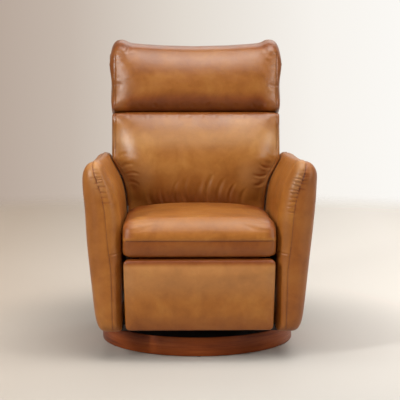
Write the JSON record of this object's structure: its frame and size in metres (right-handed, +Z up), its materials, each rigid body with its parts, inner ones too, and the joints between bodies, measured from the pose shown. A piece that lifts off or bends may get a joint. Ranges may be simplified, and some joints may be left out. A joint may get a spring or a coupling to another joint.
{
  "type": "swivel recliner",
  "caption": "Leather swivel recliner on a round wooden plinth, with flared arms, headrest, gliding seat, leaning back and fold-out footrest.",
  "frame": {"origin": "on the floor at the swivel axis, at the centre of the round plinth", "axes": "+Z up, -Y the way the chair faces, +X the sitter's left"},
  "size_m": [0.8042, 0.8556, 1.066],
  "materials": {
    "leather": "semi-gloss caramel",
    "hoop_wood": "satin reddish brown, grain round the hoop",
    "frame_wood": "plain beech",
    "plywood": "plain",
    "black_deck": "matt black",
    "black_steel": "satin black",
    "zinc": "zinc plated",
    "ball_steel": "polished",
    "spring_steel": "oiled",
    "nylon": "matt black"
  },
  "bodies": {
    "base": {"plinth_hoop": "hoop_wood", "base_deck": "black_deck", "floor_glides": "nylon", "lower_swivel_plate": "zinc", "lower_plate_screws": "zinc", "swivel_spindle": "zinc", "spindle_nut": "zinc"},
    "bearing": {"bearing_cage": "nylon", "bearing_balls": "ball_steel"},
    "chassis": {"upper_swivel_plate": "zinc", "plate_bolts": "zinc", "cross_tube_front": "black_steel", "cross_tube_rear": "black_steel", "base_rail_left": "black_steel", "base_rail_right": "black_steel", "arm_bolts": "zinc", "arm_panel_left": "plywood", "arm_panel_right": "plywood", "arm_left": "leather", "arm_right": "leather", "rear_valance": "leather"},
    "front_swing": {"front_swing_links": "black_steel", "swing_torque_tube": "black_steel"},
    "rear_swing": {"rear_swing_links": "black_steel"},
    "seat": {"seat_plate_left": "black_steel", "seat_plate_right": "black_steel", "seat_rail_front": "frame_wood", "seat_rail_rear": "frame_wood", "seat_rail_left": "frame_wood", "seat_rail_right": "frame_wood", "seat_spring_clips": "zinc", "seat_springs": "spring_steel", "seat_cushion": "leather"},
    "drive": {"drive_links": "black_steel", "drive_tube": "black_steel"},
    "cross": {"cross_links": "black_steel"},
    "control": {"control_links": "black_steel"},
    "rear_link": {"rear_links": "black_steel"},
    "footrest": {"footrest_bracket_left": "black_steel", "footrest_bracket_right": "black_steel", "footrest_board": "plywood", "footrest_pad": "leather"},
    "back": {"back_bracket_left": "black_steel", "back_bracket_right": "black_steel", "back_stile_left": "frame_wood", "back_stile_right": "frame_wood", "back_top_rail": "frame_wood", "back_mid_rail": "frame_wood", "back_bottom_rail": "frame_wood", "back_springs": "spring_steel", "back_panel": "leather", "back_side_left": "leather", "back_side_right": "leather", "lumbar_cushion": "leather", "headrest_cushion": "leather"}
  },
  "joints": [
    {"name": "swivel", "type": "hinge", "parent": "base", "child": "chassis", "pos_m": [0, 0, 0.082], "axis": [0, 0, 1], "continuous": true},
    {"name": "bearing_roll", "type": "hinge", "parent": "base", "child": "bearing", "pos_m": [0, 0, 0.075], "axis": [0, 0, 1], "continuous": true},
    {"name": "recline", "type": "hinge", "parent": "chassis", "child": "front_swing", "pos_m": [0, -0.13, 0.15], "axis": [1, 0, 0], "range_deg": [0, 24]},
    {"name": "rear_swing_pivot", "type": "hinge", "parent": "chassis", "child": "rear_swing", "pos_m": [0, 0.14, 0.15], "axis": [1, 0, 0], "range_deg": [0, 24]},
    {"name": "seat_glide", "type": "hinge", "parent": "front_swing", "child": "seat", "pos_m": [0, -0.06492, 0.29617], "axis": [1, 0, 0], "range_deg": [-24, 0]},
    {"name": "back_lean", "type": "hinge", "parent": "seat", "child": "back", "pos_m": [0, 0.25, 0.32017], "axis": [-1, 0, 0], "range_deg": [0, 30]},
    {"name": "footrest_open", "type": "hinge", "parent": "seat", "child": "drive", "pos_m": [0, -0.31, 0.33017], "axis": [-1, 0, 0], "range_deg": [0, 97]},
    {"name": "cross_pivot", "type": "hinge", "parent": "drive", "child": "cross", "pos_m": [0, -0.22244, 0.17221], "axis": [-1, 0, 0], "range_deg": [-111.32, 0]},
    {"name": "control_pivot", "type": "hinge", "parent": "drive", "child": "control", "pos_m": [0, -0.20305, 0.13723], "axis": [-1, 0, 0], "range_deg": [-111.32, 0]},
    {"name": "rear_link_pivot", "type": "hinge", "parent": "seat", "child": "rear_link", "pos_m": [0, -0.265, 0.31747], "axis": [-1, 0, 0], "range_deg": [0, 96.96]},
    {"name": "footrest_pivot", "type": "hinge", "parent": "cross", "child": "footrest", "pos_m": [0, -0.35875, 0.34668], "axis": [-1, 0, 0], "range_deg": [0, 111.32]}
  ],
  "couplings": [
    {"joint": "bearing_roll", "follows": "swivel", "ratio": 0.5},
    {"joint": "rear_swing_pivot", "follows": "recline", "ratio": 1},
    {"joint": "seat_glide", "follows": "recline", "ratio": -1},
    {"joint": "back_lean", "follows": "recline", "ratio": 1.25},
    {"joint": "cross_pivot", "follows": "footrest_open", "ratio": -1.1475},
    {"joint": "control_pivot", "follows": "footrest_open", "ratio": -1.1475},
    {"joint": "rear_link_pivot", "follows": "footrest_open", "ratio": 0.9995},
    {"joint": "footrest_pivot", "follows": "footrest_open", "ratio": 1.1475}
  ]
}
